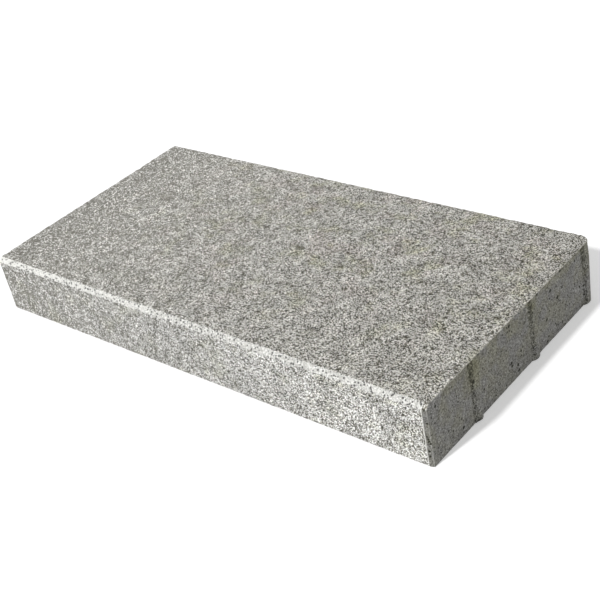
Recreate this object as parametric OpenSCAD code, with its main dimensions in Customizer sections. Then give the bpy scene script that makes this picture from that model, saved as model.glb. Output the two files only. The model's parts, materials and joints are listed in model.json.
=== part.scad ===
// Wall coping stone: one slab of cast concrete that caps a garden or retaining wall.
//
// The origin is the middle of the bedding face, the underside that lies on the wall.
// +X runs along the wall towards the ribbed end, -Y is the dressed front, +Z is up.
// The ribs on one end hold the next stone off, so that a joint is left between the two.

/* [Slab] */
// Length of the slab along the wall, without the ribs
slab_length = 600; // [200:5:1200]
// Width of the slab across the wall, from the front face to the back face
slab_width = 300; // [150:5:600]
// Thickness of the slab
slab_thickness = 70; // [40:1:150]

/* [Front top edge] */
// Width of the chamfer, measured back over the top face
chamfer_run = 5; // [1:0.5:20]
// Height of the chamfer, measured down the front face
chamfer_drop = 5; // [1:0.5:20]

/* [Upright edges of the ribbed end] */
// Width of the bevel on the front upright edge, measured along the front face
front_bevel_length = 5; // [1:0.5:20]
// Depth of the bevel on the front upright edge, measured along the ribbed end
front_bevel_depth = 1.5; // [0.5:0.5:20]
// Radius of the rounded back upright edge
back_corner_radius = 12; // [2:1:40]

/* [Joint ribs] */
// Width of a rib where it leaves the end face
rib_width = 15; // [6:1:24]
// How far a rib stands out of the end face
rib_depth = 3; // [1:0.5:8]
// Distance between the middles of neighbouring ribs
rib_pitch = 105; // [50:1:250]
// Distance from the back face to the middle of the rearmost rib
rear_rib_inset = 15; // [8:1:60]
// Distance from the top face down to where the ribs end
rib_top_gap = 4; // [1:0.5:15]
// Height over which a rib slopes back into the slab, up to its top
rib_fade_height = 34; // [5:1:40]

/* [Hidden] */

// Facets on round surfaces
$fn = 96;
// Extra length by which a cutter passes through the face it cuts
cut_overrun = 1;
concrete_grey = [0.62, 0.62, 0.59];

front_y = -slab_width / 2;
back_y = slab_width / 2;
plain_end_x = -slab_length / 2;
ribbed_end_x = slab_length / 2;

// A rib's outside is a slice of an upright cylinder: its chord is rib_width, its rise rib_depth.
rib_radius = (pow(rib_width / 2, 2) + pow(rib_depth, 2)) / (2 * rib_depth);
rib_top = slab_thickness - rib_top_gap;
// The root reaches in behind the rounded corner, so that the rearmost rib grows out of the slab.
rib_root = back_corner_radius;
// How far inside the end face the sloping top starts, so that it meets the face at a clear angle
fade_sink = 0.1;

// Ribs are set out from the back face forwards, and end a rib's width short of the front face.
rib_count = floor((slab_width - rear_rib_inset - rib_width) / rib_pitch) + 1;
rib_places = [for (i = [0 : rib_count - 1]) back_y - rear_rib_inset - i * rib_pitch];

coping_stone();

// The slab and its ribs are cast as one piece.
module coping_stone() {
    color(concrete_grey) {
        difference() {
            chamfered_slab();
            front_bevel_cutter();
            back_corner_cutter();
        }
        for (y = rib_places) translate([ribbed_end_x, y, 0]) rib();
    }
}

// The slab's section, with the chamfer on its front top edge, drawn out along the wall.
module chamfered_slab() {
    section = [
        [front_y, 0],
        [back_y, 0],
        [back_y, slab_thickness],
        [front_y + chamfer_run, slab_thickness],
        [front_y, slab_thickness - chamfer_drop],
    ];
    translate([plain_end_x, 0, 0])
        rotate([90, 0, 90]) linear_extrude(slab_length) polygon(section);
}

// A wedge that takes off the front upright edge. Its sloping side goes on past both faces.
module front_bevel_cutter() {
    slope = front_bevel_depth / front_bevel_length;
    reach = cut_overrun / slope;
    wedge = [
        [ribbed_end_x - front_bevel_length - reach, front_y - cut_overrun],
        [ribbed_end_x + cut_overrun, front_y - cut_overrun],
        [ribbed_end_x + cut_overrun, front_y + front_bevel_depth + cut_overrun * slope],
    ];
    translate([0, 0, -cut_overrun])
        linear_extrude(slab_thickness + 2 * cut_overrun) polygon(wedge);
}

// A square post less a round one, which leaves the back upright edge rounded.
module back_corner_cutter() {
    side = back_corner_radius + cut_overrun;
    height = slab_thickness + 2 * cut_overrun;
    translate([ribbed_end_x - back_corner_radius, back_y - back_corner_radius, -cut_overrun])
        difference() {
            cube([side, side, height]);
            translate([0, 0, -cut_overrun])
                cylinder(r = back_corner_radius, h = height + 2 * cut_overrun);
        }
}

// One upright rib, with the end face at x = 0: a rounded bar whose top slopes back into the slab.
module rib() {
    difference() {
        linear_extrude(rib_top) rib_section();
        rib_fade_cutter();
    }
}

module rib_section() {
    intersection() {
        translate([rib_depth - rib_radius, 0]) circle(r = rib_radius);
        translate([-rib_root, -rib_width / 2]) square([rib_root + rib_depth, rib_width]);
    }
}

// A wedge over the rib's top, seen from the front as a triangle that stands on its long side.
module rib_fade_cutter() {
    slope = rib_fade_height / (rib_depth + fade_sink);
    ridge_z = rib_top + cut_overrun * slope;
    wedge = [
        [-fade_sink - cut_overrun, ridge_z],
        [rib_depth + cut_overrun, rib_top - rib_fade_height - cut_overrun * slope],
        [rib_depth + cut_overrun, ridge_z],
    ];
    translate([0, rib_width / 2 + cut_overrun, 0])
        rotate([90, 0, 0]) linear_extrude(rib_width + 2 * cut_overrun) polygon(wedge);
}
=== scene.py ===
# %% [markdown]
# # A wall coping stone
# A coping stone is a slab of cast concrete that lies on top of a garden wall and keeps the rain out
# of it. This one has a granite mix on its top and front, blasted with grit until the grains show,
# a smooth light chamfer along the front, and plain concrete everywhere else. Three ribs stand out
# of one end and hold the next stone off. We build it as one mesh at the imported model's sizes, wear
# its edges, give each finish its own material, and light it with one lamp and a pale sky.

# %% Load the frame
import json
import math
import random

import bmesh
import bpy
from mathutils import Matrix, Vector

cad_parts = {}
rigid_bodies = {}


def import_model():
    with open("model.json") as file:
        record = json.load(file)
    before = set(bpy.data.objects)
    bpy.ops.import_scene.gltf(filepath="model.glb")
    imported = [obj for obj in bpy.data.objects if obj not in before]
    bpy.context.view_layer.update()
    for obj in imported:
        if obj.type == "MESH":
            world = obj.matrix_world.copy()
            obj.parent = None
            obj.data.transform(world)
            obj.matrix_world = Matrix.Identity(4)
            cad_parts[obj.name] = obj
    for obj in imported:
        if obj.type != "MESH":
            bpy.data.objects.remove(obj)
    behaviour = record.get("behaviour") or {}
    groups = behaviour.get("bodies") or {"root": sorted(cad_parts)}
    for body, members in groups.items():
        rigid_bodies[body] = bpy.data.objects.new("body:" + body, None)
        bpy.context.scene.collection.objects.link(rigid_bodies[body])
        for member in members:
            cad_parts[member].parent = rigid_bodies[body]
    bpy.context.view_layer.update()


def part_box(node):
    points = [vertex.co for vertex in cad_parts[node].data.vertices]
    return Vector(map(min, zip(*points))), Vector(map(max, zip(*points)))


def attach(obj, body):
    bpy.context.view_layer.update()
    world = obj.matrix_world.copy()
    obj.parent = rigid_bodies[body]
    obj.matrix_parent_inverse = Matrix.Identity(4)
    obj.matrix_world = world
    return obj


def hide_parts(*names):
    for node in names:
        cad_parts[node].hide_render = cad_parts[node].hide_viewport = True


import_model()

MM = 0.001

# %% [markdown]
# ## The camera
# The camera comes first, because it tells us how fine the work has to be. The stone is seen from
# above its front right corner, from a little over a metre away, and the picture is tilted so that
# the slab runs down to the right. A point to look at, a direction and a distance are easier to read
# and to change than the camera's place and turn.

# %% Camera
AZIMUTH = math.radians(45.58)
ELEVATION = math.radians(32.71)
TILT = math.radians(-11.85)
DISTANCE = 1.2207
FOCAL_LENGTH = 69.2
LOOK_AT = Vector((0.0537, -0.0286, 0.035))


def direction(azimuth, elevation):
    """The unit vector that points from the stone out to something at that azimuth and elevation."""
    level = math.cos(elevation)
    return Vector((math.sin(azimuth) * level, -math.cos(azimuth) * level, math.sin(elevation)))


def add_camera():
    camera_data = bpy.data.cameras.new("camera")
    camera_data.lens = FOCAL_LENGTH
    camera = bpy.data.objects.new("camera", camera_data)
    bpy.context.scene.collection.objects.link(camera)
    outward = direction(AZIMUTH, ELEVATION)
    upright = (-outward).to_track_quat("-Z", "Y").to_matrix().to_4x4()
    place = Matrix.Translation(LOOK_AT + outward * DISTANCE)
    camera.matrix_world = place @ upright @ Matrix.Rotation(TILT, 4, "Z")
    bpy.context.scene.camera = camera
    return camera


camera = add_camera()
print("camera at", [round(v, 3) for v in camera.matrix_world.translation])

# %% [markdown]
# ## Sizes
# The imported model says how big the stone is, so every size here starts from its box. The chamfer,
# the bevel, the round corner and the ribs have the sizes that the drawing gives them. The ribs
# stand out of the slab at +X, so the slab itself ends a rib's depth short of the box.

# %% Sizes
box_low, box_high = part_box("coping_stone")
RIB_DEPTH = 3 * MM
RIB_WIDTH = 15 * MM
RIB_PITCH = 105 * MM
RIB_COUNT = 3
REAR_RIB_INSET = 15 * MM
RIB_TOP_GAP = 4 * MM
RIB_FADE = 34 * MM
CHAMFER = 5 * MM
BEVEL_LENGTH = 5 * MM
BEVEL_DEPTH = 1.5 * MM
CORNER_RADIUS = 12 * MM

left, front, base = box_low
right, back, top = box_high.x - RIB_DEPTH, box_high.y, box_high.z
ribs = [back - REAR_RIB_INSET - i * RIB_PITCH for i in range(RIB_COUNT)]
print("slab", [round(v / MM, 1) for v in (right - left, back - front, top - base)], "mm")
print("ribs at y =", [round(y / MM, 1) for y in ribs], "mm")

# %% [markdown]
# ## Selecting by place
# By hand we would click on an edge or a face. In a script we say where it is instead: pick() goes
# over the points, edges or faces and selects those that pass a test. It deselects everything
# first, because an operator acts on all that is selected. Two places count as the same when they
# are less than a hair apart. The part of a normal along an axis is 1 when the face looks straight
# that way, so three words say how straight it has to look.

# %% Selecting by place
HAIR = 0.01 * MM
ROUGHLY, NEARLY, SQUARELY = 0.6, 0.9, 0.99


def pick(kind, test):
    """Selects the points, edges or faces of the mesh in edit mode that pass the test."""
    bpy.ops.mesh.select_mode(type=kind)
    bpy.ops.mesh.select_all(action="DESELECT")
    mesh = bpy.context.edit_object.data
    shape = bmesh.from_edit_mesh(mesh)
    items = {"VERT": shape.verts, "EDGE": shape.edges, "FACE": shape.faces}[kind]
    found = [item for item in items if test(item)]
    for item in found:
        item.select_set(True)
    shape.select_flush_mode()
    bmesh.update_edit_mesh(mesh)
    return len(found)


def near(a, b):
    return abs(a - b) < HAIR


def all_points(item, test):
    return all(test(vert.co) for vert in item.verts)


def edit(piece):
    """Deselects everything, makes the piece active and opens it in edit mode."""
    bpy.ops.object.select_all(action="DESELECT")
    piece.select_set(True)
    bpy.context.view_layer.objects.active = piece
    bpy.ops.object.mode_set(mode="EDIT")


def leave():
    bpy.ops.object.mode_set(mode="OBJECT")


def triangles(piece):
    return sum(len(face.vertices) - 2 for face in piece.data.polygons)


print("places closer than", HAIR / MM, "mm are the same place")

# %% [markdown]
# ## The slab
# The real slab was pressed in a steel mould, and the mould gave it its chamfer and corners. A
# Boolean could cut these from a block, but it leaves long thin faces. Here a cube gets its chamfer
# and its round corner from the bevel operator while it still has only a few edges. The front
# upright edge is cut at a flat angle, so bisect takes that one off.

# %% Slab
CORNER_PARTS = 12


def add_slab():
    bpy.ops.object.select_all(action="DESELECT")
    middle = Vector(((left + right) / 2, (front + back) / 2, (base + top) / 2))
    bpy.ops.mesh.primitive_cube_add(size=1, location=middle)
    slab = bpy.context.active_object
    slab.name = slab.data.name = "dressed_stone"
    slab.scale = (right - left, back - front, top - base)
    bpy.ops.object.transform_apply(location=True, rotation=False, scale=True)
    return slab


def shape_slab():
    pick("EDGE", lambda e: all_points(e, lambda p: near(p.y, front) and near(p.z, top)))
    bpy.ops.mesh.bevel(offset=CHAMFER, segments=1, affect="EDGES")
    pick("EDGE", lambda e: all_points(e, lambda p: near(p.x, right) and near(p.y, back)))
    bpy.ops.mesh.bevel(offset=CORNER_RADIUS, segments=CORNER_PARTS, affect="EDGES")
    bpy.ops.mesh.select_all(action="SELECT")
    outward = Vector((BEVEL_DEPTH, -BEVEL_LENGTH, 0)).normalized()
    start = (right - BEVEL_LENGTH, front, base)
    bpy.ops.mesh.bisect(plane_co=start, plane_no=outward, use_fill=True, clear_outer=True)


stone = add_slab()
edit(stone)
shape_slab()
leave()
print("the plain slab has", len(stone.data.polygons), "faces")

# %% [markdown]
# ## Ruling lines over the slab
# Relief needs many small faces. Subdividing the whole slab evenly would miss the chamfer and the
# ribs, so we first rule a line wherever something begins or ends, and then divide each strip
# between two lines into equal steps. A narrow strip runs along every edge, where the stone will
# wear. It is as wide as it must be for its lines to meet points of the round corner. Blender makes
# at most 100 cuts at once, so the long direction is first ruled into four fields.

# %% Ruling
STEP = 2.6 * MM
RIB_STEP = 1.25 * MM
FIELDS = 4
WEAR_PARTS = 3
WEAR = CORNER_RADIUS * (1 - math.cos(WEAR_PARTS * math.radians(90) / CORNER_PARTS))
AXES = {"X": Vector((1, 0, 0)), "Y": Vector((0, 1, 0)), "Z": Vector((0, 0, 1))}


def rule(axis, place):
    """Cuts every face but the underside along a plane across that axis."""
    pick("FACE", lambda f: not all_points(f, lambda p: near(p.z, base)))
    bpy.ops.mesh.bisect(plane_co=AXES[axis] * place, plane_no=AXES[axis])


def divide(axis, low, high, step):
    """Cuts each edge that spans the strip from low to high into equal parts of about one step."""
    index = "XYZ".index(axis)
    parts = max(1, round((high - low) / step))
    if parts == 1:
        return

    def spans(edge):
        a, b = sorted(vert.co[index] for vert in edge.verts)
        rise = abs(edge.verts[0].co.z - edge.verts[1].co.z)
        return near(a, low) and near(b, high) and (axis == "Z" or rise < HAIR)

    pick("EDGE", spans)
    bpy.ops.mesh.subdivide(number_cuts=parts - 1)


rib_full = top - RIB_TOP_GAP - RIB_FADE
rib_top = top - RIB_TOP_GAP
corner_start = back - CORNER_RADIUS
rib_sides = [y + side * RIB_WIDTH / 2 for y in ribs for side in (-1, 1)]
fields = [left + (right - left) * part / FIELDS for part in range(1, FIELDS)]
x_lines = [left, left + WEAR] + fields
x_lines += [right - CORNER_RADIUS, right - BEVEL_LENGTH, right - WEAR, right]
y_lines = [front, front + BEVEL_DEPTH, front + CHAMFER, corner_start, back - WEAR, back]
y_lines = sorted(y_lines + [y for y in rib_sides if y < corner_start])
z_lines = [base, base + WEAR, rib_full, top - CHAMFER, rib_top, top - WEAR, top]

edit(stone)
for axis, lines in (("X", x_lines), ("Y", y_lines), ("Z", z_lines)):
    for place in lines[1:-1]:
        rule(axis, place)
for low, high in zip(y_lines, y_lines[1:]):
    on_rib = any(abs((low + high) / 2 - middle) < RIB_WIDTH / 2 for middle in ribs)
    divide("Y", low, high, RIB_STEP if on_rib else STEP)
for low, high in zip(z_lines, z_lines[1:]):
    divide("Z", low, high, STEP)
leave()
print("faces", len(stone.data.polygons), "wear strip", round(WEAR / MM, 2), "mm wide")

# %% [markdown]
# ## The joint ribs
# Each rib is a slice of a cylinder, 15 mm wide and 3 mm deep, and its upper half slopes back into
# the slab. It could be a bar joined on, but cast concrete has no seam there. So each upright line
# that we ruled inside a rib moves out by the height of the rib's arc at its place. Then, level by
# level, whatever stands out past the slope is pressed back to it.

# %% Ribs
rib_radius = ((RIB_WIDTH / 2) ** 2 + RIB_DEPTH ** 2) / (2 * RIB_DEPTH)


def rib_rise(y):
    """How far a rib stands out at that y, or None between the ribs."""
    for middle in ribs:
        if abs(y - middle) < RIB_WIDTH / 2 - HAIR:
            return math.sqrt(rib_radius ** 2 - (y - middle) ** 2) - rib_radius + RIB_DEPTH
    return None


def end_wall(y):
    """Where the slab's own end is at that y, round the corner as well."""
    past = max(0, y - corner_start)
    return right - CORNER_RADIUS + math.sqrt(max(0, CORNER_RADIUS ** 2 - past ** 2))


def raise_ribs():
    shape = bmesh.from_edit_mesh(stone.data)
    lines = {(round(v.co.x, 6), round(v.co.y, 6)) for v in shape.verts if v.co.x > right - WEAR}
    raised = [(x, y) for x, y in sorted(lines) if rib_rise(y) and abs(x - end_wall(y)) < HAIR]
    for x, y in raised:
        pick("VERT", lambda v: near(v.co.x, x) and near(v.co.y, y) and v.co.z < rib_top - HAIR)
        bpy.ops.transform.translate(value=(right + rib_rise(y) - x, 0, 0))
    return len(raised)


def slope_back():
    shape = bmesh.from_edit_mesh(stone.data)
    levels = sorted({round(v.co.z, 6) for v in shape.verts if rib_full < v.co.z < rib_top - HAIR})
    for level in levels:
        limit = right + RIB_DEPTH * (rib_top - level) / RIB_FADE
        pick("VERT", lambda v: near(v.co.z, level) and v.co.x > limit)
        bpy.ops.transform.resize(value=(0, 1, 1), center_override=(limit, 0, level))
    return len(levels)


edit(stone)
print("upright lines moved out:", raise_ribs(), "and levels pressed back:", slope_back())
leave()

# %% [markdown]
# ## A finer net where the eye rests
# Now the long direction is divided too, and the front and the ribbed end, which are seen closest,
# are subdivided once more. Nobody works the underside, which lies in mortar, so its faces are
# dissolved into one, and a narrow border is inset around it. The edge can then wear while the
# middle stays flat on the ground.

# %% Finer net
edit(stone)
for low, high in zip(x_lines, x_lines[1:]):
    divide("X", low, high, STEP)
pick("FACE", lambda f: f.normal.y < -ROUGHLY or f.normal.x > ROUGHLY)
bpy.ops.mesh.subdivide(number_cuts=1)
pick("FACE", lambda f: all_points(f, lambda p: near(p.z, base)))
bpy.ops.mesh.dissolve_faces()
bpy.ops.mesh.inset(thickness=WEAR, use_even_offset=False)
bpy.ops.mesh.select_all(action="SELECT")
bpy.ops.mesh.normals_make_consistent(inside=False)
leave()
print("faces", len(stone.data.polygons), "triangles", triangles(stone))

# %% [markdown]
# ## Marking the finishes
# Three finishes meet on the stone: the blasted top, the blasted front with its chamfer, and plain
# concrete for all the rest. The faces get their material slots now, while the sides are still flat
# and easy to tell apart by their normals. The materials are only names so far.

# %% Marking the finishes
FINISHES = ("plain_concrete", "blasted_top", "blasted_front")


def on_chamfer(face):
    return face.normal.y < -ROUGHLY and face.normal.z > ROUGHLY


def over_corner(face):
    return face.calc_center_median().x > right - BEVEL_LENGTH


def is_top(face):
    """The top, and the last bit of the chamfer, where it runs out over the bevelled corner."""
    return face.normal.z > SQUARELY or (on_chamfer(face) and over_corner(face))


def is_front(face):
    return face.normal.y < -SQUARELY or (on_chamfer(face) and not over_corner(face))


def dress(name, test):
    count = pick("FACE", test)
    stone.active_material_index = FINISHES.index(name)
    bpy.ops.object.material_slot_assign()
    return count


for name in FINISHES:
    stone.data.materials.append(bpy.data.materials.new(name))
edit(stone)
dress("plain_concrete", lambda face: True)
print("top", dress("blasted_top", is_top), "front", dress("blasted_front", is_front), "faces")
leave()

# %% [markdown]
# ## Uneven skins
# No face of a cast stone is truly flat: grit has bitten hollows into the dressed sides, and the
# mould has left the plain ones faintly wavy. Sculpting would do this by hand. A Displace modifier
# with a cloud texture does it evenly all over and the same each time. Its vertex group says which
# points it may move, and a negative strength only ever moves them inwards, so the stone keeps its
# outer size.

# %% Uneven skins
# Each pair is the size of the hollows and their greatest depth.
HOLLOWS = {"dressed": (9 * MM, 0.45 * MM), "plain": (5 * MM, 0.2 * MM)}
CLOUD_DETAIL = 2


def is_dressed(face):
    return is_top(face) or is_front(face)


def is_plain(face):
    return not is_dressed(face) and face.normal.z > -NEARLY


def remember(name, weight=1.0):
    """Puts the selected points into the vertex group of that name."""
    if name not in stone.vertex_groups:
        stone.vertex_groups.new(name=name)
    stone.vertex_groups.active = stone.vertex_groups[name]
    bpy.context.scene.tool_settings.vertex_group_weight = weight
    bpy.ops.object.vertex_group_assign()


def press_in(name, size, depth, start=0.0, full=1.0):
    """Moves the points of a vertex group inwards. The clouds have that size, and they begin to
    press at the start tone and press to the whole depth at the full tone."""
    clouds = bpy.data.textures.new(name + "_clouds", "CLOUDS")
    clouds.noise_scale = size
    clouds.noise_depth = CLOUD_DETAIL
    clouds.use_color_ramp = True
    dark, light = clouds.color_ramp.elements
    dark.color, light.color = (0, 0, 0, 1), (1, 1, 1, 1)
    dark.position, light.position = start, full
    bpy.ops.object.modifier_add(type="DISPLACE")
    press = stone.modifiers[-1]
    press.texture = clouds
    press.vertex_group = name
    press.mid_level = 0.0
    press.strength = -depth
    bpy.ops.object.modifier_apply(modifier=press.name)


edit(stone)
for name, test in (("dressed", is_dressed), ("plain", is_plain)):
    print(name, "faces", pick("FACE", test))
    remember(name)
leave()
for name, (size, depth) in HOLLOWS.items():
    press_in(name, size, depth)

# %% [markdown]
# ## Worn edges
# Square edges crumble a little when a stone leaves its mould and is stacked, while the blunt ones
# along the chamfer hold. First every square outward edge is eased by smoothing its points towards
# their neighbours. Then clouds press it in unevenly, and a second set of clouds, so contrasty that
# most of it is black, knocks out a few deeper chips. The points next to an edge go along with a
# smaller weight, which gives a chip a sloping floor.

# %% Worn edges
SHARP = math.radians(60)
BESIDE_WEIGHT = 0.4
EASING = 0.5
CRUMBLE = (4 * MM, 0.5 * MM)
CHIPS = (8 * MM, 1.4 * MM)
CHIP_TONES = (0.58, 0.75)


def on_sharp_edge(vert):
    return any(edge.is_convex and edge.calc_face_angle(0) > SHARP for edge in vert.link_edges)


edit(stone)
pick("VERT", on_sharp_edge)
bpy.ops.mesh.select_more()
remember("worn", BESIDE_WEIGHT)
pick("VERT", lambda v: near(v.co.z, base) and not on_sharp_edge(v))
remember("worn", 0.0)
print("points on sharp edges:", pick("VERT", on_sharp_edge))
remember("worn")
bpy.ops.mesh.vertices_smooth(factor=EASING, repeat=1)
leave()
press_in("worn", *CRUMBLE)
press_in("worn", *CHIPS, *CHIP_TONES)

# %% [markdown]
# ## Breaks in the corner and the rib's foot
# The worst knocks have a place: a row of small breaks down the bevelled corner, and a broken foot
# under the front rib. A Boolean with small stones would cut them, but leaves a torn mesh. Here the
# points within reach of a spot are selected and moved, first all of them and then only the inner
# ones, so that each break is a dish. The breaks are given as millimetres across the bevel and up
# from the base.

# %% Breaks
BREAKS = [(2.0, 12), (2.0, 18), (4.2, 27), (3.2, 29.5), (2.4, 32), (1.6, 34.5), (3.5, 50)]
BREAK_REACH = 1.6 * MM
BREAK_DEPTH = 0.8 * MM
FOOT_REACH = 4.5 * MM
FOOT_DEPTH = 1.2 * MM
INNER = 0.6


def break_spots():
    """The places of the breaks on the bevelled corner."""
    along = Vector((BEVEL_LENGTH, BEVEL_DEPTH, 0)).normalized()
    start = Vector((right - BEVEL_LENGTH, front, base))
    return [start + along * (across * MM) + Vector((0, 0, up * MM)) for across, up in BREAKS]


def knock(spot, reach, move):
    """Presses a dish into the mesh around a spot."""
    for share in (1.0, INNER):
        pick("VERT", lambda v: (v.co - spot).length < reach * share)
        bpy.ops.transform.translate(value=move / 2)


edit(stone)
inward = Vector((-BEVEL_DEPTH, BEVEL_LENGTH, 0)).normalized()
for spot in break_spots():
    knock(spot, BREAK_REACH, inward * BREAK_DEPTH)
foot = Vector((right + RIB_DEPTH, ribs[-1] - RIB_WIDTH / 4, base))
knock(foot, FOOT_REACH, Vector((-FOOT_DEPTH, 0, 0)))
leave()
print("breaks in the corner:", len(BREAKS), "and one in the foot of the front rib")

# %% [markdown]
# ## Pores and smooth shading
# Pores are where air was caught against the mould, so they are on the plain sides only. The larger
# ones are deep enough to hold a shadow, so they are modelled, and only the smallest are painted, as
# dark dots of painted shade. A seeded random test picks faces, and each is inset and sunk by itself.
# Last, faces that meet at a flat angle are shaded as one surface, and sharper edges stay crisp.

# %% Pores
# Each is the share of the faces that get a pore, the border left around it, and its depth.
END_PORES = (0.008, 0.25 * MM, 0.6 * MM)
OTHER_PORES = (0.012, 0.7 * MM, 0.9 * MM)
CLEAR = 4 * MM
SMOOTH = math.radians(35)
SEED = 20
chance = random.Random(SEED)


def sink(chosen, share, border, depth):
    """Picks a share of the chosen faces at random, and insets and sinks each by itself."""
    count = pick("FACE", lambda face: chosen(face) and chance.random() < share)
    bpy.ops.mesh.inset(thickness=border, depth=-depth, use_individual=True)
    return count


def clear_of_edges(face, axes):
    """Whether the face lies well inside the slab's outline along those axes."""
    middle = face.calc_center_median()
    low, high = (left, front, base), (right, back, top)
    return all(low[i] + CLEAR < middle[i] < high[i] - CLEAR for i in axes)


def on_ribbed_end(face):
    return face.normal.x > ROUGHLY and clear_of_edges(face, (1, 2))


def on_back_or_plain_end(face):
    on_end = face.normal.x < -NEARLY and clear_of_edges(face, (1, 2))
    on_back = face.normal.y > NEARLY and clear_of_edges(face, (0, 2))
    return on_end or on_back


edit(stone)
print("pores on the ribbed end:", sink(on_ribbed_end, *END_PORES))
print("pores elsewhere:", sink(on_back_or_plain_end, *OTHER_PORES))
leave()
bpy.ops.object.shade_smooth_by_angle(angle=SMOOTH)
print("triangles", triangles(stone))

# %% [markdown]
# ## Node helpers
# A material is a small tree of nodes. By hand we would add nodes and drag wires between them. These
# helpers add a node and fill its inputs in one line, with a value or another node's output.

# %% Node helpers
GREEN_LOSS = 0.15
BLUE_LOSS = 0.7


def fill(tree, node, feeds):
    """Fills a node's inputs, each with a value or a wire."""
    for name, value in feeds.items():
        if isinstance(value, bpy.types.NodeSocket):
            tree.links.new(value, node.inputs[name])
        else:
            node.inputs[name].default_value = value
    return node.outputs


def add(tree, kind, feeds=None, **settings):
    node = tree.nodes.new(kind)
    for name, value in settings.items():
        setattr(node, name, value)
    return fill(tree, node, feeds or {})


def maths(tree, operation, *values):
    return add(tree, "ShaderNodeMath", dict(enumerate(values)), operation=operation)[0]


def plus(tree, first, second):
    return maths(tree, "ADD", first, second)


def minus(tree, first, second):
    return maths(tree, "SUBTRACT", first, second)


def times(tree, first, second):
    return maths(tree, "MULTIPLY", first, second)


def either(tree, first, second):
    """The larger of two values, which joins two masks."""
    return maths(tree, "MAXIMUM", first, second)


def moved(tree, vector, other):
    return add(tree, "ShaderNodeVectorMath", {0: vector, 1: other}, operation="ADD")[0]


def scaled(tree, vector, factor):
    feeds = {"Vector": vector, "Scale": factor}
    return add(tree, "ShaderNodeVectorMath", feeds, operation="SCALE")[0]


def blend(tree, factor, first, second, how="MIX"):
    """Mixes two colours. The Mix node has sockets for numbers, vectors and colours that share their
    labels, so the ones for colours are told by number."""
    feeds = {0: factor, 6: first, 7: second}
    return add(tree, "ShaderNodeMix", feeds, data_type="RGBA", blend_type=how)[2]


def stretch(tree, value, low, high, start=0.0, end=1.0, kind="LINEAR"):
    """Turns the range from low to high into the range from start to end."""
    feeds = {"Value": value, "From Min": low, "From Max": high, "To Min": start, "To Max": end}
    return add(tree, "ShaderNodeMapRange", feeds, interpolation_type=kind)["Result"]


def ease(tree, value, low, high, start=0.0, end=1.0):
    """As stretch, with a soft beginning and end."""
    return stretch(tree, value, low, high, start, end, "SMOOTHSTEP")


def noise(tree, vector, size, detail=3.0, roughness=0.5, output="Fac"):
    """Clouds from 0 to 1, of about that size."""
    spread = scaled(tree, vector, maths(tree, "DIVIDE", 1.0, size))
    feeds = {"Vector": spread, "Scale": 1.0, "Detail": detail, "Roughness": roughness}
    return add(tree, "ShaderNodeTexNoise", feeds)[output]


def grey(value, warmth=0.0):
    """A grey that warmth turns towards the yellow of cement, dark greys more than light ones."""
    loss = warmth * (1 - value)
    return (value, value * (1 - GREEN_LOSS * loss), value * (1 - BLUE_LOSS * loss), 1)


def tones(tree, value, steps, warmth):
    """A colour ramp, from a list of (place, grey value)."""
    ramp = tree.nodes.new("ShaderNodeValToRGB")
    stops = ramp.color_ramp.elements
    for place, _ in steps[1:-1]:
        stops.new(place)
    for stop, (place, level) in zip(stops, steps):
        stop.position = place
        stop.color = grey(level, warmth)
    return fill(tree, ramp, {"Fac": value})["Color"]


print("a warm middle grey", [round(v, 2) for v in grey(0.5, warmth=1.0)])

# %% [markdown]
# ## Node groups
# Several materials need the same effects: grains, dots, soft tints and ragged borders. Each is a
# node group with named inputs and outputs, built once and placed in a material with its own
# values, like a tool with knobs.

# %% Group helpers
def new_group(name, inputs, outputs):
    """Starts a node group, from {label: (kind, value)} for the inputs and {label: kind}."""
    group = bpy.data.node_groups.new(name, "ShaderNodeTree")
    for label, (kind, value) in inputs.items():
        socket = group.interface.new_socket(label, in_out="INPUT", socket_type="NodeSocket" + kind)
        if value is not None:
            socket.default_value = value
    for label, kind in outputs.items():
        group.interface.new_socket(label, in_out="OUTPUT", socket_type="NodeSocket" + kind)
    given = group.nodes.new("NodeGroupInput").outputs
    wanted = group.nodes.new("NodeGroupOutput")
    return group, given, wanted


def place_group(tree, group, **knobs):
    """Places a group and sets its knobs. Grain_Size= sets the input that is called Grain Size."""
    node = tree.nodes.new("ShaderNodeGroup")
    node.node_tree = group
    return fill(tree, node, {label.replace("_", " "): value for label, value in knobs.items()})


print("a group has named inputs and outputs")

# %% [markdown]
# ## The grains
# Blasting lays the granite grains bare: white quartz, grey feldspar and black mica, most of them
# about a millimetre across. A Voronoi texture gives cells of one size with a random tone each, but
# its cells are straight-sided. So the place is first pushed about by noise, which bends the
# outlines, and some of the tone comes from noise too, which lets grains run into each other.

# %% Grain tone group
def build_grain_tone():
    inputs = {"Vector": ("Vector", None), "Grain Size": ("Float", 1 * MM)}
    tree, given, wanted = new_group("grain_tone", inputs, {"Tone": "Float"})
    small = scaled(tree, given["Vector"], maths(tree, "DIVIDE", 1.0, given["Grain Size"]))
    drift = noise(tree, small, 1.25, detail=1.0, output="Color")
    centred = moved(tree, drift, (-0.5, -0.5, -0.5))
    bent = moved(tree, scaled(tree, centred, 1.2), small)
    cells = add(tree, "ShaderNodeTexVoronoi", {"Vector": bent, "Scale": 1.0})
    own = add(tree, "ShaderNodeSeparateColor", {"Color": cells["Color"]})[0]
    shared = ease(tree, noise(tree, bent, 1.2, roughness=0.65), 0.3, 0.7)
    tone = plus(tree, times(tree, own, 0.8), times(tree, shared, 0.2))
    fill(tree, wanted, {"Tone": tone})
    return tree


grain_tone = build_grain_tone()
print("built", grain_tone.name)
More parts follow.
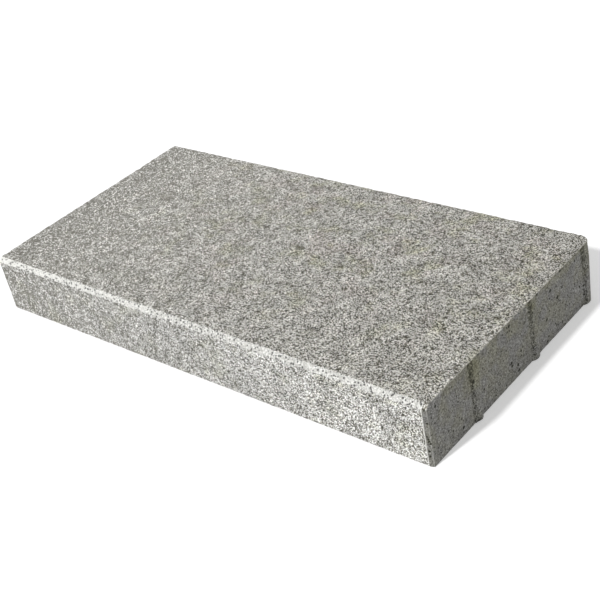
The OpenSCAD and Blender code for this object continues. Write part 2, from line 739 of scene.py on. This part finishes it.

# %% [markdown]
# ## Scattered dots
# Bubbles leave pinholes in smooth cement, painted dark as painted shade, and here and there a whole
# grain of quartz shows as a white dot. Both are dots of unequal size, scattered unevenly. A Voronoi
# texture knows how far each place is from the middle of its cell, so a dot is put there. The cell's
# random colour decides whether it has a dot at all, and how large the dot is.

# %% Dots group
def build_dots():
    inputs = {
        "Vector": ("Vector", None),
        "Spacing": ("Float", 6 * MM),
        "Share": ("Float", 0.5),
        "Dot Size": ("Float", 1 * MM),
    }
    tree, given, wanted = new_group("scattered_dots", inputs, {"Mask": "Float"})
    spread = scaled(tree, given["Vector"], maths(tree, "DIVIDE", 1.0, given["Spacing"]))
    cells = add(tree, "ShaderNodeTexVoronoi", {"Vector": spread, "Scale": 1.0})
    draw = add(tree, "ShaderNodeSeparateColor", {"Color": cells["Color"]})
    has_dot = maths(tree, "LESS_THAN", draw[0], given["Share"])
    widest = maths(tree, "DIVIDE", given["Dot Size"], times(tree, given["Spacing"], 2.0))
    radius = times(tree, widest, stretch(tree, draw[1], 0.0, 1.0, 0.4, 1.0))
    dot = ease(tree, cells["Distance"], times(tree, radius, 0.7), radius, 1.0, 0.0)
    fill(tree, wanted, {"Mask": times(tree, dot, has_dot)})
    return tree


scattered_dots = build_dots()


def dots(tree, place, spacing, share, size):
    """The mask of scattered dots."""
    knobs = {"Spacing": spacing, "Share": share, "Dot_Size": size}
    return place_group(tree, scattered_dots, Vector=place, **knobs)["Mask"]


print("built", scattered_dots.name)

# %% [markdown]
# ## From grains to granite
# Two colour ramps turn a grain's tone into a grey. The calm one is mostly middle grey, as where the
# cement still covers most of the stone, and white dots of quartz are strewn over it. The lively one
# runs from black mica to white quartz, as where the grit has bitten deep. One knob goes from the
# calm ramp to the lively one, and another gathers the light and the dark grains in clumps. Quartz
# is smoother than the cement between, so the tone sets the roughness too.

# %% Granite group
CALM = [(0.0, 0.17), (0.3, 0.20), (0.6, 0.23), (0.76, 0.27), (0.84, 0.95), (1.0, 1.0)]
LIVELY = [(0.0, 0.03), (0.30, 0.08), (0.42, 0.22), (0.56, 0.42), (0.66, 0.80), (1.0, 0.96)]
CALM_WARMTH = 0.27
LIVELY_WARMTH = 0.46
QUARTZ = (1.0, 0.99, 0.965, 1)
CLUMP_SIZE = 8 * MM


def strew_quartz(tree, given, cloud, ground):
    """Strews white dots over the ground, fewer where it is lively, and gathered by the cloud."""
    spacing = times(tree, given["Grain Size"], 2.0)
    size = times(tree, given["Grain Size"], 3.0)
    strewn = dots(tree, given["Vector"], spacing, 0.5, size)
    shown = stretch(tree, given["Liveliness"], 0.0, 1.0, 1.0, 0.2)
    gathered = times(tree, shown, ease(tree, cloud, 0.35, 0.55))
    return blend(tree, times(tree, strewn, gathered), ground, QUARTZ)


def build_granite():
    inputs = {
        "Vector": ("Vector", None),
        "Grain Size": ("Float", 1 * MM),
        "Liveliness": ("Float", 0.5),
        "Contrast": ("Float", 1.0),
        "Clumping": ("Float", 0.5),
        "Brightness": ("Float", 1.0),
    }
    outputs = {"Color": "Color", "Height": "Float", "Roughness": "Float"}
    tree, given, wanted = new_group("blasted_granite", inputs, outputs)
    grains = place_group(tree, grain_tone, Vector=given["Vector"], Grain_Size=given["Grain Size"])
    cloud = noise(tree, given["Vector"], CLUMP_SIZE, roughness=0.6)
    lift = times(tree, minus(tree, cloud, 0.5), given["Clumping"])
    tone = plus(tree, grains["Tone"], lift)
    off_middle = minus(tree, tone, 0.5)
    stronger = plus(tree, times(tree, off_middle, given["Contrast"]), 0.5)
    calm = tones(tree, tone, CALM, CALM_WARMTH)
    lively = tones(tree, stronger, LIVELY, LIVELY_WARMTH)
    ground = blend(tree, given["Liveliness"], calm, lively)
    whitened = strew_quartz(tree, given, cloud, ground)
    fill(tree, wanted, {
        "Color": scaled(tree, whitened, given["Brightness"]),
        "Height": grains["Tone"],
        "Roughness": stretch(tree, stronger, 0.5, 0.9, 0.92, 0.6),
    })
    return tree


blasted_granite = build_granite()
print("built", blasted_granite.name)

# %% [markdown]
# ## Tints and mottling
# Seen from further off, the stone is cloudy: darker where it is damp or worn, yellow where sand
# shows, a little pink elsewhere. Painting such patches by hand would be slow. One group does them
# all: noise of a chosen size, cut off softly between two levels, multiplies the colour by a tint.

# %% Tint group
def build_tint():
    inputs = {
        "Color": ("Color", None),
        "Vector": ("Vector", None),
        "Patch Size": ("Float", 30 * MM),
        "Low": ("Float", 0.45),
        "High": ("Float", 0.65),
        "Amount": ("Float", 1.0),
        "Tint": ("Color", (1, 1, 1, 1)),
    }
    tree, given, wanted = new_group("soft_tint", inputs, {"Color": "Color"})
    cloud = noise(tree, given["Vector"], given["Patch Size"], roughness=0.6)
    patches = times(tree, ease(tree, cloud, given["Low"], given["High"]), given["Amount"])
    colour = blend(tree, patches, given["Color"], given["Tint"], how="MULTIPLY")
    fill(tree, wanted, {"Color": colour})
    return tree


soft_tint = build_tint()


def tinted(tree, place, colour, amount, patches):
    """A colour with a tint over it in patches."""
    knobs = {"Color": colour, "Vector": place, "Amount": amount}
    return place_group(tree, soft_tint, **knobs, **patches)["Color"]


print("built", soft_tint.name)

# %% [markdown]
# ## Ragged borders
# Where the smooth chamfer meets the blasted front, and along the painted highlights on the edges,
# one finish gives way to the next in a ragged line; a straight one would look like paint. This group
# takes a distance that is positive inside the band, adds noise to it and turns it into a mask.

# %% Ragged border group
def build_ragged():
    inputs = {
        "Vector": ("Vector", None),
        "Distance": ("Float", 0.0),
        "Tooth Size": ("Float", 4 * MM),
        "Raggedness": ("Float", 5 * MM),
        "Softness": ("Float", 0.3 * MM),
    }
    tree, given, wanted = new_group("ragged_border", inputs, {"Mask": "Float"})
    teeth = noise(tree, given["Vector"], given["Tooth Size"], roughness=0.7)
    shift = times(tree, minus(tree, teeth, 0.5), given["Raggedness"])
    inside = plus(tree, given["Distance"], shift)
    outer = times(tree, given["Softness"], -1.0)
    fill(tree, wanted, {"Mask": ease(tree, inside, outer, given["Softness"])})
    return tree


ragged_border = build_ragged()


def ragged(tree, place, distance, tooth, raggedness, **knobs):
    """The mask of a band with a ragged border, where the distance is positive."""
    return place_group(
        tree, ragged_border, Vector=place, Distance=distance, Tooth_Size=tooth,
        Raggedness=raggedness, **knobs,
    )["Mask"]


print("built", ragged_border.name)

# %% [markdown]
# ## Starting a material
# All the materials here are rough and mineral. They differ in what feeds the colour, the roughness
# and the relief, so one helper starts them and gives back the wires that they all need: the place
# on the stone and its three axes. The place comes from Object coordinates, so the pattern stays on
# the stone whatever moves. Stone has hardly any gloss, which is set on the shader itself.

# %% Starting a material
GLOSS = 0.25
GRAIN_RELIEF = 0.45 * MM
CEMENT_RELIEF = 0.3 * MM


def open_material(name):
    material = bpy.data.materials[name]
    material.use_nodes = True
    tree = material.node_tree
    tree.nodes["Principled BSDF"].inputs["Specular IOR Level"].default_value = GLOSS
    place = add(tree, "ShaderNodeTexCoord")["Object"]
    x, y, z = add(tree, "ShaderNodeSeparateXYZ", {0: place})
    return material, tree, place, (x, y, z)


def finish_material(tree, colour, roughness, height, depth):
    """Wires the colour, the roughness and the relief to the shader."""
    bump = add(tree, "ShaderNodeBump", {"Height": height, "Strength": 1.0, "Distance": depth})
    feeds = {"Base Color": colour, "Roughness": roughness, "Normal": bump[0]}
    fill(tree, tree.nodes["Principled BSDF"], feeds)


print("materials read the place on the stone, so a pattern stays put")

# %% [markdown]
# ## The blasted granite skin
# The top and the front are the same granite mix, so they share this recipe: grains that gather in
# clumps, grey clouds a few centimetres wide, and patches where yellow sand shows. The blasting bit
# deeper towards the ribbed end, so grains, clumps and clouds all grow livelier along the stone.

# %% Granite skin
LIVELIEST = 0.84
CALM_LENGTH = 40 * MM
LIVELY_LENGTH = 180 * MM
GREY_CLOUDS = {"Patch_Size": 24 * MM, "Low": 0.35, "High": 0.65, "Tint": (0.77, 0.77, 0.77, 1)}
YELLOW_SAND = {"Patch_Size": 26 * MM, "Low": 0.5, "High": 0.72, "Tint": (0.97, 0.98, 0.83, 1)}


def granite_skin(tree, place, x, grain_size, contrast, painted_falloff, sand):
    """The colour, roughness and relief of blasted granite."""
    liveliness = stretch(tree, x, left + CALM_LENGTH, right - LIVELY_LENGTH, 0.0, LIVELIEST)
    # Brightness carries the painted light falloff that the top and the front pass in.
    skin = place_group(
        tree, blasted_granite, Vector=place, Grain_Size=grain_size, Liveliness=liveliness,
        Contrast=contrast, Clumping=stretch(tree, x, left, 0.0, 0.1, 0.32), Brightness=painted_falloff,
    )
    relief = times(tree, skin["Height"], stretch(tree, liveliness, 0.0, 1.0, 0.3, 1.0))
    cloudiness = stretch(tree, x, left, 0.0, 0.45, 0.95)
    cloudy = tinted(tree, place, skin["Color"], cloudiness, GREY_CLOUDS)
    return tinted(tree, place, cloudy, sand, YELLOW_SAND), skin["Roughness"], relief


print("the granite grows livelier from x =", round(left, 3), "to", round(right, 3))

# %% [markdown]
# ## The top
# Yellow sand and a little pink show more and more towards the ribbed end. The pink takes its clouds
# from a little way off, so that it doesn't lie on the sand. A painted light falloff makes the top
# darkest in its back right corner, and a thin painted highlight runs along the top's edge over the
# ribbed end.

# %% The blasted top
TOP_GRAIN = 0.9 * MM
WARM_TINT = (0.99, 0.98, 0.945, 1)
PINK_PATCHES = {"Patch_Size": 30 * MM, "Low": 0.5, "High": 0.64, "Tint": (1.0, 0.96, 0.96, 1)}
PINK_OFFSET = (0.7, 0.2, 0.0)
# The pale grey of the painted highlight along the top's edge.
RIM_HIGHLIGHT = (0.44, 0.43, 0.38, 1)
RIM_WIDTH = 1.5 * MM


def top_painted_falloff(tree, x, y):
    """Painted light falloff: darker along the stone and towards the back. Also a little darker at the
    plain end.
    """
    along = stretch(tree, x, left, right)
    across = stretch(tree, y, front, back, 0.2, 0.29)
    level = minus(tree, 1.135, times(tree, along, across))
    return times(tree, level, ease(tree, x, left, left + 120 * MM, 0.87, 1.0))


def blasted_top():
    material, tree, place, (x, y, _) = open_material("blasted_top")
    behind_front = ease(tree, y, front, 0.0, 0.2, 1.0)
    sand = times(tree, stretch(tree, x, left, 0.0), behind_front)
    contrast = stretch(tree, x, left, right, 3.1, 1.9)
    # painted light falloff: the top darkens along the stone and towards the back
    painted_falloff = top_painted_falloff(tree, x, y)
    skin, roughness, height = granite_skin(tree, place, x, TOP_GRAIN, contrast, painted_falloff, sand)
    warmth = stretch(tree, x, left, right, 0.4, 1.0)
    warm = blend(tree, warmth, skin, WARM_TINT, how="MULTIPLY")
    pinkness = times(tree, sand, stretch(tree, x, 0.0, right, 1.0, 0.5))
    pink = tinted(tree, moved(tree, place, PINK_OFFSET), warm, pinkness, PINK_PATCHES)
    # painted highlight: a thin pale line along the top's edge over the ribbed end
    from_edge = minus(tree, x, right - RIM_WIDTH)
    rim = ragged(tree, place, from_edge, 4 * MM, 3 * MM)
    colour = blend(tree, times(tree, rim, 0.35), pink, RIM_HIGHLIGHT)
    finish_material(tree, colour, roughness, height, GRAIN_RELIEF)
    return material


print("made", blasted_top().name)

# %% [markdown]
# ## The chamfer
# The chamfer over the front was not blasted: it is smooth, nearly white cement full of pinholes.
# Its lower border is crisp at the plain end and ragged further along, where some granite shows
# through, and it stops short of the bevelled corner. The ragged border wanders over the edge, so
# the chamfer is a band on the front's material and not a material of its own.

# %% The chamfer's cement
CHAMFER_WHITE = (0.77, 0.765, 0.73, 1)
PINHOLE_SHADE = (0.06, 0.06, 0.055, 1)
# Each is the spacing, the share of the places that have a dot, and the widest dot.
FINE_HOLES = (2.4 * MM, 0.75, 2.8 * MM)
LARGE_HOLES = (9 * MM, 0.2, 3.0 * MM)


def chamfer_cement(tree, place, x):
    """The colour of the pale cement with painted shade in its pinholes, and the mask of the pinholes.
    """
    sand = place_group(
        tree, blasted_granite, Vector=place, Grain_Size=0.9 * MM, Liveliness=0.6, Contrast=2.2,
        Clumping=0.1, Brightness=1.15,
    )
    pale = blend(tree, stretch(tree, x, left, 0.0, 0.12, 0.42), CHAMFER_WHITE, sand["Color"])
    holes = either(tree, dots(tree, place, *FINE_HOLES), dots(tree, place, *LARGE_HOLES))
    # painted shade: the pinholes are painted nearly black
    return blend(tree, times(tree, holes, 0.9), pale, PINHOLE_SHADE), holes


def chamfer_band(tree, place, x, z):
    """The mask of the chamfer, ragged below and cut off before the corner."""
    above = minus(tree, z, top - CHAMFER - 0.6 * MM)
    raggedness = stretch(tree, x, left + 100 * MM, 0.0, 2 * MM, 6 * MM)
    before = minus(tree, right - BEVEL_LENGTH - 0.5 * MM, x)
    lower = ragged(tree, place, above, 4 * MM, raggedness)
    return times(tree, lower, ragged(tree, place, before, 3 * MM, 2 * MM))


print("the chamfer is a band over z =", round((top - CHAMFER) / MM, 1), "mm")

# %% [markdown]
# ## The front
# The front is the same granite as the top, a little finer, and a painted light falloff makes it
# lighter towards the ribbed end. Just before the bevelled corner a thin painted highlight runs up
# the front in the white of the chamfer's cement.

# %% The blasted front
FRONT_GRAIN = 0.84 * MM
BROAD_CLOUDS = {"Patch_Size": 45 * MM, "Low": 0.4, "High": 0.6, "Tint": (0.86, 0.86, 0.84, 1)}
CORNER_HIGHLIGHT_WIDTH = 1.2 * MM
FRONT_SAND = 0.4


def front_granite(tree, place, x):
    """The colour, roughness and relief of the front, without its chamfer."""
    # painted light falloff: the front grows lighter towards the ribbed end
    painted_falloff = stretch(tree, x, left, right - 100 * MM, 0.96, 1.27)
    contrast = stretch(tree, x, left, right, 5.0, 1.9)
    skin, roughness, height = granite_skin(
        tree, place, x, FRONT_GRAIN, contrast, painted_falloff, FRONT_SAND,
    )
    broad = tinted(tree, place, skin, 0.3, BROAD_CLOUDS)
    # painted highlight: a thin line in the chamfer's white just before the bevelled corner
    from_corner = minus(tree, x, right - BEVEL_LENGTH - CORNER_HIGHLIGHT_WIDTH)
    line = ragged(tree, place, from_corner, 4 * MM, 2 * MM)
    colour = blend(tree, times(tree, line, 0.7), broad, CHAMFER_WHITE)
    return colour, roughness, height


def blasted_front():
    material, tree, place, (x, _, z) = open_material("blasted_front")
    granite, roughness, height = front_granite(tree, place, x)
    cement, holes = chamfer_cement(tree, place, x)
    band = chamfer_band(tree, place, x, z)
    colour = blend(tree, band, granite, cement)
    smoother = stretch(tree, band, 0.0, 1.0, roughness, 0.7)
    relief = minus(tree, height, times(tree, holes, band))
    finish_material(tree, colour, smoother, relief, GRAIN_RELIEF)
    return material


print("made", blasted_front().name)

# %% [markdown]
# ## Streaks, damp, painted shade and a painted highlight
# A dark pitted streak runs down the front flank of every rib, partly pitting and partly painted
# shade by the crease, and the damp beside the ribs' tops turned olive. The breaks and the broken
# foot are darkened as painted shade. A painted highlight runs along the arris between the bevelled
# corner and the ribbed end. Each mark is a mask, made from the distance to the thing that it
# follows. The ribs repeat, so one formula finds the nearest rib: the place along Y is folded by the
# rib pitch.

# %% Streaks, damp, painted shade and a painted highlight
STREAK_MIDDLE = 5.2 * MM
STREAK_HALF = 1.8 * MM
STREAK_TOP_HALF = 4.2 * MM
PIT_SIZE = 1.8 * MM
BLOTCH_SIZE = 4 * MM
ARRIS_HALF = 1.0 * MM
# The streaks widen between these two depths, and the damp fades between these two distances.
WIDENING = (26 * MM, 12 * MM)
DAMP_FADE = (5 * MM, 14 * MM)


def rib_offset(tree, y):
    """How far a place is behind the middle of the nearest rib."""
    first = ribs[-1] - RIB_PITCH / 2
    folded = maths(tree, "FLOORED_MODULO", minus(tree, y, first), RIB_PITCH)
    return minus(tree, folded, RIB_PITCH / 2)


def ribbed_end_only(tree, x, mask):
    """Keeps a mask on the ribbed end and round its back corner."""
    return times(tree, mask, maths(tree, "GREATER_THAN", x, right - CORNER_RADIUS / 2))


def damp_beside_ribs(tree, x, y, z):
    apart = maths(tree, "ABSOLUTE", rib_offset(tree, y))
    beside = ease(tree, apart, *DAMP_FADE, 1.0, 0.0)
    high = ease(tree, z, rib_full - 12 * MM, rib_top)
    return ribbed_end_only(tree, x, times(tree, beside, high))


def rib_streak(tree, place, x, y, z):
    """Pitted streaks of partly painted shade down the ribs' front flanks, widest and densest at the
    top.
    """
    off_middle = maths(tree, "ABSOLUTE", plus(tree, rib_offset(tree, y), STREAK_MIDDLE))
    low, high = [top - depth for depth in WIDENING]
    half = ease(tree, z, low, high, STREAK_HALF, STREAK_TOP_HALF)
    inside = minus(tree, half, off_middle)
    streak = ragged(tree, place, inside, 6 * MM, 9 * MM, Softness=1.2 * MM)
    pits = ease(tree, noise(tree, place, PIT_SIZE, detail=1.0), 0.47, 0.57)
    blotches = ease(tree, noise(tree, place, BLOTCH_SIZE, detail=1.0), 0.42, 0.55)
    top_blotches = times(tree, blotches, ease(tree, z, rib_full, rib_top))
    return ribbed_end_only(tree, x, times(tree, streak, either(tree, pits, top_blotches)))


# painted shade in the breaks and the broken foot, darkest in the middle of each dish
def painted_shade_in_breaks(tree, place):
    painted_shade = 0.0
    for spot, reach in [(spot, BREAK_REACH) for spot in break_spots()] + [(foot, FOOT_REACH)]:
        feeds = {0: place, 1: spot}
        apart = add(tree, "ShaderNodeVectorMath", feeds, operation="DISTANCE")["Value"]
        painted_shade = either(tree, painted_shade, ease(tree, apart, INNER * reach, reach, 1.0, 0.0))
    return painted_shade


def corner_strip(tree, x, y):
    """One on the bevelled corner, nothing elsewhere."""
    beyond = maths(tree, "GREATER_THAN", x, right - BEVEL_LENGTH - WEAR)
    before = maths(tree, "LESS_THAN", y, front + BEVEL_DEPTH)
    return times(tree, beyond, before)


# painted highlight along the arris between the bevelled corner and the ribbed end
def painted_arris_highlight(tree, place, x, y):
    along_bevel = maths(tree, "ABSOLUTE", minus(tree, right, x))
    over_end = maths(tree, "MAXIMUM", minus(tree, y, front + BEVEL_DEPTH), 0.0)
    away = plus(tree, along_bevel, over_end)
    near_arris = minus(tree, ARRIS_HALF, away)
    return ragged(tree, place, near_arris, 5 * MM, 2.4 * MM)


print("streaks lie", STREAK_MIDDLE / MM, "mm in front of each rib's middle")

# %% [markdown]
# ## Plain concrete
# The ends, the back, the underside and the bevelled corner kept the skin of the mould: grey cement
# with faint upright streaks, dark mottles and pores, an olive tint that grows towards the top edge,
# and a rusty spot here and there. The pores and the bevelled corner are darkened as painted shade.
# A single noise would look like felt, so the ground is half upright streaks and half grit. The
# streaks, painted shade and painted highlight of the last section go over it, the dark ones last.

# %% Plain concrete
CEMENT = [(0.22, 0.09), (0.42, 0.29), (0.58, 0.385), (0.78, 0.72)]
CEMENT_WARMTH = 0.14
MOTTLES = {"Patch_Size": 9 * MM, "Low": 0.45, "High": 0.7, "Tint": (0.7, 0.7, 0.7, 1)}
OLIVE_PATCHES = {"Patch_Size": 22 * MM, "Low": 0.4, "High": 0.6, "Tint": (1.0, 0.99, 0.84, 1)}
DAMP_TINT = (0.98, 0.98, 0.85, 1)
# The near-black of the painted shade in the pores and the breaks, used also for the rib streaks.
PAINTED_SHADE_BLACK = (0.035, 0.036, 0.025, 1)
RUST_BROWN = (0.20, 0.14, 0.06, 1)
ARRIS_HIGHLIGHT_GREY = (0.50, 0.50, 0.47, 1)
CORNER_SHADE = 0.6
# Spacing, share and widest dot again.
SMALL_PORES = (4 * MM, 0.6, 2.6 * MM)
LARGE_PORES = (11 * MM, 0.5, 5 * MM)
RUST_SPOTS = (26 * MM, 0.4, 9 * MM)


def cement_ground(tree, place, z):
    """The colour of the cement and the tone that it comes from."""
    drawn = add(tree, "ShaderNodeMapping", {"Vector": place, "Scale": (1, 1, 0.35)})[0]
    streaks = noise(tree, drawn, 1.4 * MM, roughness=0.75)
    grit = place_group(tree, grain_tone, Vector=place, Grain_Size=1.0 * MM)["Tone"]
    tone = plus(tree, times(tree, streaks, 0.5), times(tree, grit, 0.5))
    mottled = tinted(tree, place, tones(tree, tone, CEMENT, CEMENT_WARMTH), 0.5, MOTTLES)
    near_top = stretch(tree, z, base, top, 0.4, 1.0)
    olive = tinted(tree, place, mottled, near_top, OLIVE_PATCHES)
    rusty = times(tree, dots(tree, place, *RUST_SPOTS), 0.4)
    return blend(tree, rusty, olive, RUST_BROWN), tone


def dark_marks(tree, place, x, y, z):
    """The mask of painted shade in the pores and the breaks, and of the rib streaks, partly painted
    shade.
    """
    pores = either(tree, dots(tree, place, *SMALL_PORES), dots(tree, place, *LARGE_PORES))
    streaks = times(tree, rib_streak(tree, place, x, y, z), 0.75)
    dark = either(tree, times(tree, pores, 0.9), streaks)
    return either(tree, dark, painted_shade_in_breaks(tree, place))


def plain_concrete():
    material, tree, place, (x, y, z) = open_material("plain_concrete")
    ground, tone = cement_ground(tree, place, z)
    damp = blend(tree, damp_beside_ribs(tree, x, y, z), ground, DAMP_TINT, how="MULTIPLY")
    # painted shade: the bevelled corner strip is darkened to CORNER_SHADE of its colour
    shaded_corner = blend(tree, corner_strip(tree, x, y), damp, scaled(tree, damp, CORNER_SHADE))
    # painted highlight on the arris, mixed in at 0.4
    highlit_arris = times(tree, painted_arris_highlight(tree, place, x, y), 0.4)
    dark = dark_marks(tree, place, x, y, z)
    # painted shade in the pores and the breaks, and partly in the rib streaks, goes on last
    colour = blend(tree, dark, blend(tree, highlit_arris, shaded_corner, ARRIS_HIGHLIGHT_GREY), PAINTED_SHADE_BLACK)
    roughness = stretch(tree, tone, 0.3, 0.7, 0.96, 0.8)
    relief = minus(tree, tone, times(tree, dark, 1.5))
    rougher = stretch(tree, dark, 0.0, 1.0, roughness, 1.0)
    finish_material(tree, colour, rougher, relief, CEMENT_RELIEF)
    return material


print("made", plain_concrete().name)

# %% [markdown]
# ## Stage and light
# The stone stands on a plain white floor. One lamp far away in front, a little to the left and
# about 40 degrees up, gives the shadow behind the stone, and an even pale sky fills the rest.
# Together they light level ground to a strength of one, so colours come out about as written. The
# floor and the sky look white but give off less light than they show, so that the end in the shade
# stays as dark as it is outdoors.

# %% Floor
FLOOR_SIZE = 12
FLOOR_GLOW = 0.34
FLOOR_SEEN = 0.78
FLOOR_FELT = 0.45


def seen_directly(tree):
    """One for what the camera or a reflection sees, nothing for what only receives light."""
    paths = add(tree, "ShaderNodeLightPath")
    return maths(tree, "MAXIMUM", paths["Is Camera Ray"], paths["Is Glossy Ray"])


def add_floor():
    bpy.ops.object.select_all(action="DESELECT")
    bpy.ops.mesh.primitive_plane_add(size=FLOOR_SIZE, location=(0, 0, 0))
    floor = bpy.context.active_object
    floor.name = floor.data.name = "floor"
    material = bpy.data.materials.new("studio_floor")
    material.use_nodes = True
    tree = material.node_tree
    tree.nodes.clear()
    glow = add(tree, "ShaderNodeEmission", {"Strength": FLOOR_GLOW})
    pale = add(tree, "ShaderNodeBsdfDiffuse", {"Color": grey(FLOOR_SEEN)})
    dim = add(tree, "ShaderNodeBsdfDiffuse", {"Color": grey(FLOOR_FELT)})
    shown = add(tree, "ShaderNodeAddShader", {0: glow[0], 1: pale[0]})
    both = add(tree, "ShaderNodeMixShader", {0: seen_directly(tree), 1: dim[0], 2: shown[0]})
    add(tree, "ShaderNodeOutputMaterial", {"Surface": both[0]})
    floor.data.materials.append(material)
    return floor


add_floor()
print("the floor looks white and throws back", FLOOR_FELT, "of the light")

# %% Sky and lamp
SKY = 0.45
SUN = 2.7
SUN_AZIMUTH = math.radians(-10)
SUN_ELEVATION = math.radians(40)
SUN_SIZE = math.radians(4)


def add_sky():
    world = bpy.data.worlds.new("pale_sky")
    bpy.context.scene.world = world
    world.use_nodes = True
    tree = world.node_tree
    tree.nodes.clear()
    strength = stretch(tree, seen_directly(tree), 0.0, 1.0, SKY, 1.0)
    sky = add(tree, "ShaderNodeBackground", {"Color": (1, 1, 1, 1), "Strength": strength})
    add(tree, "ShaderNodeOutputWorld", {"Surface": sky[0]})


def add_sun():
    sun_data = bpy.data.lights.new("sun", "SUN")
    sun_data.energy = SUN
    sun_data.angle = SUN_SIZE
    sun = bpy.data.objects.new("sun", sun_data)
    bpy.context.scene.collection.objects.link(sun)
    turn = direction(SUN_AZIMUTH, SUN_ELEVATION).to_track_quat("Z", "Y")
    sun.matrix_world = turn.to_matrix().to_4x4()


add_sky()
add_sun()
bpy.context.scene.view_settings.view_transform = "Standard"
level_light = SKY + SUN * math.sin(SUN_ELEVATION) / math.pi
print("light on level ground:", round(level_light, 2))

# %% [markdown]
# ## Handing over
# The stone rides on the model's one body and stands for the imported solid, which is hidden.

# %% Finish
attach(stone, "root")
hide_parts("coping_stone")
